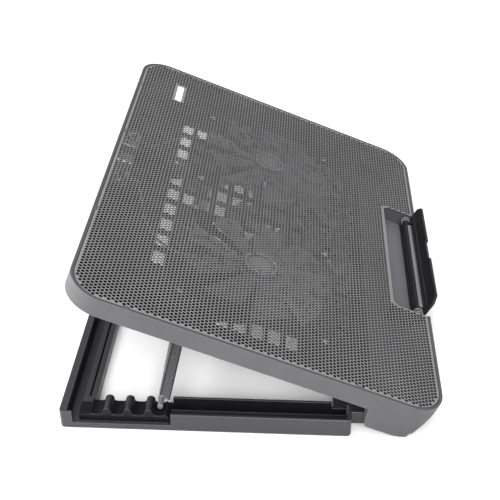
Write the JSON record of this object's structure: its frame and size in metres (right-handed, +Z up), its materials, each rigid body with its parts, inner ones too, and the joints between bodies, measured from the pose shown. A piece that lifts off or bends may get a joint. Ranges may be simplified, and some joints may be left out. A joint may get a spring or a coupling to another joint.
{
  "type": "laptop cooling pad",
  "caption": "Tilting laptop cooling pad: perforated steel top over a fan tray, flip-up front stop, swinging prop and a notched folding base frame.",
  "frame": {"origin": "middle of the footprint, on the table, with the tray at its highest notch and the stop up", "axes": "+X to the user's right, +Y to the rear (the raised edge), +Z up"},
  "size_m": [0.365, 0.2658, 0.1186],
  "materials": {
    "tray_plastic": "satin moulded black-grey",
    "black_plastic": "satin moulded black",
    "mesh_steel": "matt grey paint on perforated sheet",
    "badge": "gloss",
    "fan_plastic": "translucent milky moulding",
    "copper": "enamelled winding",
    "ferrite": "pressed ferrite",
    "steel": "bright",
    "lead": "satin insulation",
    "rubber": "matt",
    "board": "solder mask"
  },
  "bodies": {
    "base": {"base_frame": "tray_plastic", "base_foot_front_left": "rubber", "base_foot_rear_left": "rubber", "base_foot_front_right": "rubber", "base_foot_rear_right": "rubber"},
    "tray": {"badge_plate": "badge", "fan_left_lead": "lead", "fan_left_mount": "black_plastic", "fan_left_screw_1": "steel", "fan_left_screw_2": "steel", "fan_left_screw_3": "steel", "fan_left_screw_4": "steel", "fan_left_stator": "copper", "fan_right_lead": "lead", "fan_right_mount": "black_plastic", "fan_right_screw_1": "steel", "fan_right_screw_2": "steel", "fan_right_screw_3": "steel", "fan_right_screw_4": "steel", "fan_right_stator": "copper", "hub_board": "board", "hub_screw_left": "steel", "hub_screw_right": "steel", "mesh_panel": "mesh_steel", "prop_pin_left": "steel", "prop_pin_right": "steel", "stop_pin_left": "steel", "stop_pin_right": "steel", "tray_foot_left": "rubber", "tray_foot_right": "rubber", "tray_pin_left": "steel", "tray_pin_right": "steel", "tray_shell": "tray_plastic", "usb_port_left": "steel", "usb_port_right": "steel"},
    "prop": {"prop_bracket": "black_plastic"},
    "stop": {"laptop_stop": "black_plastic"},
    "fan_left": {"fan_left_rotor": "fan_plastic", "fan_left_magnet": "ferrite", "fan_left_shaft": "steel"},
    "fan_right": {"fan_right_rotor": "fan_plastic", "fan_right_magnet": "ferrite", "fan_right_shaft": "steel"}
  },
  "joints": [
    {"name": "tray_tilt", "type": "hinge", "parent": "base", "child": "tray", "pos_m": [0, -0.10099, 0.0087], "axis": [1, 0, 0], "range_deg": [-22, 0]},
    {"name": "prop_swing", "type": "hinge", "parent": "tray", "child": "prop", "pos_m": [0, 0.03288, 0.06656], "axis": [1, 0, 0], "range_deg": [0, 81.6]},
    {"name": "stop_flip", "type": "hinge", "parent": "tray", "child": "stop", "pos_m": [0, -0.11932, 0.01801], "axis": [1, 0, 0], "range_deg": [-101, 0]},
    {"name": "fan_left_spin", "type": "hinge", "parent": "tray", "child": "fan_left", "pos_m": [-0.0775, 0.00094, 0.06606], "axis": [0, -0.3746, 0.9272], "continuous": true},
    {"name": "fan_right_spin", "type": "hinge", "parent": "tray", "child": "fan_right", "pos_m": [0.0775, 0.00094, 0.06606], "axis": [0, -0.3746, 0.9272], "continuous": true}
  ],
  "couplings": [
    {"joint": "prop_swing", "follows": "tray_tilt", "ratio": -3.7045}
  ]
}
